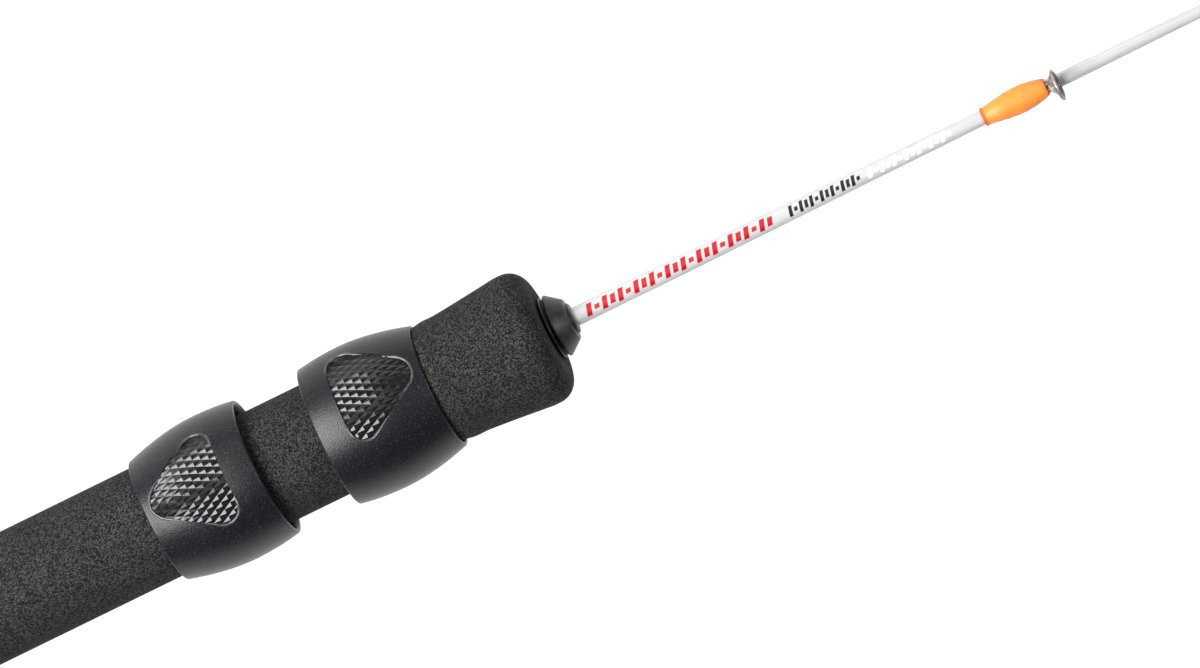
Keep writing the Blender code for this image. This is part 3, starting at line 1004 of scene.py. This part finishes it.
def make_guide(number, guide, blank):
    """Hoop, insert, legs and foot, web and sleeve of one guide."""
    frame_low, frame_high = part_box(f"guide_{number}_frame")
    insert_low, insert_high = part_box(f"guide_{number}_insert")
    outer = (frame_high.y - frame_low.y) / 2
    centre = Vector(((insert_low.x + insert_high.x) / 2, 0.0, (insert_low.z + insert_high.z) / 2))
    steel = finish_named("steel_wire", steel_finish)
    prefix = f"guide_{number}"
    rear = frame_low.x + guide.wire
    foot_z = blank_radius(blank, rear) + guide.wire + GUIDE_FIT
    left, right = (leg_points(guide, centre, outer, foot_z, side) for side in (1, -1))
    half = guide.foot_half_width
    bend = [Vector((rear + half + x, y, foot_z)) for x, y in arc((0.0, 0.0), half, 90.0, 270.0, 8)]
    path = smooth_path(left + bend + right[::-1], 4)
    add_hoop(prefix, guide, centre, outer, f"{prefix}_frame")
    dress(wire(f"{prefix}_legs", path, guide.wire, roundness=4), steel, "rod", "steel")
    web_left, web_right = (smooth_path(leg, 4)[:WEB_ROWS] for leg in (left, right))
    dress(bridge_piece(f"{prefix}_web", web_left, web_right, WEB_WALL), steel, "rod", "steel")
    add_eye(prefix, guide, centre, outer)
    make_sleeve(number, guide, blank)


def make_sleeve(number, guide, blank):
    """Barrel-shaped elastic sleeve with a rolled lip at its rear and a thin mouth around the legs."""
    low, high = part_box(f"guide_{number}_sleeve")
    long = high.x - low.x
    swollen = blank_radius(blank, low.x) + 2 * guide.wire + SLEEVE_ROOM
    steps = 40
    inner = []
    outer = []
    for i in range(steps + 1):
        part = i / steps
        place = low.x + long * part
        tight = blank_radius(blank, place) + SLEEVE_FIT
        bore = tight + (swollen - tight) * eased(part / SLEEVE_SHOULDER)
        barrel = guide.sleeve_wall * math.sin(math.pi * part)
        inner.append((bore, place))
        outer.append((bore + guide.sleeve_wall + barrel, place))
    start, end = outer[0], outer[-1]
    lip = arc((start[0] - 0.1 * SLEEVE_LIP, start[1] + 1.1 * SLEEVE_LIP), SLEEVE_LIP, 20.0, -120.0, 7)
    outline = [(end[0] - 0.4 * SLEEVE_LIP, end[1])] + outer[:1:-1] + lip + inner
    piece = turned(f"guide_{number}_cuff", outline, 64)
    draw_in(piece, guide, blank, low.x, high.x)
    mark_lip_and_mouth_shade(piece, low.x, high.x)
    elastic = finish_named("elastic_orange", sleeve_finish)
    dress(piece, elastic, "rod", "orange_elastic", f"guide_{number}_sleeve")


def scale_across(vert, by):
    vert.co.y *= by
    vert.co.z *= by


def draw_in(piece, guide, blank, start, end):
    """Draws a sleeve in to the blank where there is no wire under it, and folds it a little."""
    for vert in piece.data.vertices:
        place = (vert.co.x - start) / (end - start)
        part = min(1.0, max(0.0, place))
        radius = math.hypot(vert.co.y, vert.co.z)
        core = blank_radius(blank, vert.co.x)
        raised = eased((vert.co.z / radius - 0.50) / 0.42)
        swell = eased(part / SLEEVE_SHOULDER)
        over_wire = guide.sleeve_wall * (1.0 + math.sin(math.pi * part)) + SLEEVE_OVER_WIRE * swell
        aside = guide.sleeve_wall + SLEEVE_SIDE * math.sin(math.pi * part**1.25) ** 0.9
        drawn = core + (radius - core) * (raised + (1.0 - raised) * min(1.0, aside / over_wire))
        scale_across(vert, drawn / radius)
        turn = math.atan2(vert.co.y, vert.co.z)
        fold = math.sin(38.0 * place + 2.0 * math.sin(2.0 * turn + 1.0)) * math.sin(3.0 * turn + 9.0 * place)
        room = max(0.0, math.sin(math.pi * part))
        scale_across(vert, 1.0 + SLEEVE_FOLD * fold * room / math.hypot(vert.co.y, vert.co.z))


def mark_lip_and_mouth_shade(piece, start, end):
    """Stores how close each point is to the rolled lip or to the mouth, for the colour: the lip is painted
    deeper and the mouth gets painted shade.
    """
    layer = piece.data.attributes.new("lip", "FLOAT", "POINT")
    for vert, item in zip(piece.data.vertices, layer.data):
        rolled = max(0.0, 1.0 - (vert.co.x - start) / (0.7 * MM)) ** 0.5
        # Painted shade inside the open mouth.
        mouth = 0.55 * max(0.0, 1.0 - (end - vert.co.x) / (1.6 * MM))
        item.value = max(rolled, mouth)


def make_tip_top(guide, blank):
    """Guide at the tip: a closed tube over the blank, two legs, a hoop and its insert."""
    low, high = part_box("tip_top_frame")
    insert_low, insert_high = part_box("tip_top_insert")
    steel = finish_named("steel_wire", steel_finish)
    centre = (insert_low + insert_high) / 2
    outer = (high.y - low.y) / 2
    wall = -low.z
    bore = blank_radius(blank, low.x) + TIP_FIT
    end = high.x - TIP_SETBACK
    closed_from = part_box("rod_blank")[1].x + GUIDE_FIT
    outline = [(0.0, end), (0.45 * wall, end)]
    outline += arc((0.55 * wall, end - 0.4 * wall), 0.4 * wall, 75.0, 0.0, 6)
    outline += arc((wall - TIP_EDGE, low.x + TIP_EDGE), TIP_EDGE, 0.0, -90.0, 4)
    outline += [(bore, low.x), (bore, closed_from), (0.0, closed_from)]
    tube = turned("tip_top_tube", outline, 56, closed=False, sharp_angle=45.0)
    dress(tube, steel, "rod", "steel", "tip_top_frame")
    add_hoop("tip_top", guide, centre, outer)
    for side, label in ((1, "left"), (-1, "right")):
        top = leg_points(guide, centre, outer, 0.0, side)[0]
        foot = Vector((centre.x - 2.2 * guide.leg_reach, side * 0.35 * wall, 0.85 * wall))
        path = smooth_path([top, top.lerp(foot, 0.5) - Vector((0.0, 0.0, WEB_SAG)), foot], 6)
        dress(wire(f"tip_top_leg_{label}", path, guide.wire, roundness=4), steel, "rod", "steel")
    add_eye("tip_top", guide, centre, outer)


class ROD_OT_guides(bpy.types.Operator):
    """Makes the line guides, their sleeves and the tip top"""

    bl_idname = "ice_rod.guides"
    bl_label = "Line Guides"

    def execute(self, context):
        scene = context.scene
        for number in (1, 2, 3):
            make_guide(number, scene.rod_guides, scene.rod_blank)
        make_tip_top(scene.rod_guides, scene.rod_blank)
        return {"FINISHED"}


class ROD_OT_core(bpy.types.Operator):
    """Gives the core tube and its arbors their fibreglass"""

    bl_idname = "ice_rod.core"
    bl_label = "Core"

    def execute(self, context):
        finish = finish_named("fibreglass_raw", core_finish)
        for node in ("core_tube", "rear_arbor", "front_arbor"):
            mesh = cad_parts[node].data
            mesh.materials.clear()
            mesh.materials.append(finish)
        return {"FINISHED"}


# ---------------- stage


FOCUS_RIGHT = 4.06 * MM  # from the focus on the rod to the middle of the view
FOCUS_DOWN = 3.33 * MM
SENSOR = 36.0
TABLE_SIZE = 12.0
TABLE_GAP = 0.02 * MM
LIT_AT = Vector((0.113, 0.0, 0.0))  # between the rings
SOFTBOXES = (  # name, how far towards the camera and along the rod, shift, size, watts
    ("softbox_rear", 0.66, -0.49, (0.0, 0.12, 0.0), (0.52, 0.74), 17.0),
    ("softbox_front", 0.62, 0.66, (0.0, 0.0, 0.0), (0.22, 0.4), 3.0),
    ("softbox_high", 0.0, 0.0, (0.0, 0.80, 0.45), (0.9, 0.5), 1.4),
)
WORLD_COLOUR = (0.95, 0.96, 1.0, 1.0)
WORLD_STRENGTH = 0.03


def stand(name, data, place, axes):
    """An object at a place, with its own axes turned to these."""
    item = bpy.data.objects.new(name, data)
    bpy.context.scene.collection.objects.link(item)
    item.matrix_world = Matrix.Translation(place) @ Matrix(axes).transposed().to_4x4()
    return item


def area_light(name, place, size, power):
    """A rectangular light aimed at the rings, with its first side along the rod."""
    light = bpy.data.lights.new(name, "AREA")
    light.shape = "RECTANGLE"
    light.size, light.size_y = size
    light.energy = power
    out = (place - LIT_AT).normalized()
    first = (ROD - out * ROD.dot(out)).normalized()
    stand(name, light, place, (first, out.cross(first), out))


def camera_axes(studio):
    """Unit vectors from the rod to the camera, and to the right and the top of its picture."""
    side = Vector((0.0, math.sin(studio.turn), math.cos(studio.turn)))
    back = (math.sin(studio.tilt) * ROD + math.cos(studio.tilt) * side).normalized()
    right = Matrix.Rotation(-studio.slant, 3, back) @ (ROD - back * back.x).normalized()
    return back, right, back.cross(right)


class ROD_OT_studio(bpy.types.Operator):
    """Makes the table, the camera and the lights"""

    bl_idname = "ice_rod.studio"
    bl_label = "Studio"

    def execute(self, context):
        scene = context.scene
        studio = scene.rod_studio
        back, right, up = camera_axes(studio)
        focus = Vector((studio.focus_at, 0.0, 0.0)) + FOCUS_RIGHT * right - FOCUS_DOWN * up
        place = focus + back * studio.distance
        camera = stand("camera", bpy.data.cameras.new("camera"), place, (right, up, back))
        camera.data.lens = studio.lens
        camera.data.sensor_width = SENSOR
        camera.data.clip_start = 0.01
        scene.camera = camera
        bpy.ops.mesh.primitive_plane_add(size=TABLE_SIZE, location=(0.2, 0.0, cad_box[0].z - TABLE_GAP))
        table = bpy.context.object
        table.name = "table_top"
        table.data.materials.append(finish_named("pale_table", table_finish))
        for name, near, along, across, size, power in SOFTBOXES:
            area_light(name, LIT_AT + back * near + ROD * along + Vector(across), size, power)
        world = bpy.data.worlds.new("studio_white")
        world.use_nodes = True
        background = world.node_tree.nodes["Background"].inputs
        background["Color"].default_value = WORLD_COLOUR
        background["Strength"].default_value = WORLD_STRENGTH
        scene.world = world
        scene.view_settings.view_transform = "Standard"
        return {"FINISHED"}


class ROD_PT_panel(bpy.types.Panel):
    """Lists the rod's pieces in the order they are made"""

    bl_idname = "ROD_PT_panel"
    bl_label = "Ice Rod"
    bl_space_type = "VIEW_3D"
    bl_region_type = "UI"
    bl_category = "Ice Rod"

    def draw(self, context):
        for operator in OPERATORS:
            self.layout.operator(operator.bl_idname)
        for attribute in SETTINGS:
            group = getattr(context.scene, attribute)
            box = self.layout.box()
            box.label(text=type(group).__doc__)
            for name in group.bl_rna.properties.keys():
                if name not in ("rna_type", "name"):
                    box.prop(group, name)


OPERATORS = (ROD_OT_grip, ROD_OT_rings, ROD_OT_check, ROD_OT_plug, ROD_OT_blank, ROD_OT_guides, ROD_OT_core,
             ROD_OT_studio)
SETTINGS = {
    "rod_grip": GripSettings,
    "rod_rings": RingSettings,
    "rod_blank": BlankSettings,
    "rod_guides": GuideSettings,
    "rod_studio": StudioSettings,
}
CLASSES = (*SETTINGS.values(), *OPERATORS, ROD_PT_panel)


def register():
    for item in CLASSES:
        bpy.utils.register_class(item)
    for attribute, group in SETTINGS.items():
        setattr(bpy.types.Scene, attribute, PointerProperty(type=group))


def unregister():
    for attribute in SETTINGS:
        delattr(bpy.types.Scene, attribute)
    for item in reversed(CLASSES):
        bpy.utils.unregister_class(item)


def main():
    register()
    bpy.ops.ice_rod.grip()
    bpy.ops.ice_rod.rings()
    bpy.ops.ice_rod.check()
    bpy.ops.ice_rod.plug()
    bpy.ops.ice_rod.blank()
    bpy.ops.ice_rod.guides()
    bpy.ops.ice_rod.core()
    bpy.ops.ice_rod.studio()


if __name__ == "__main__":
    main()
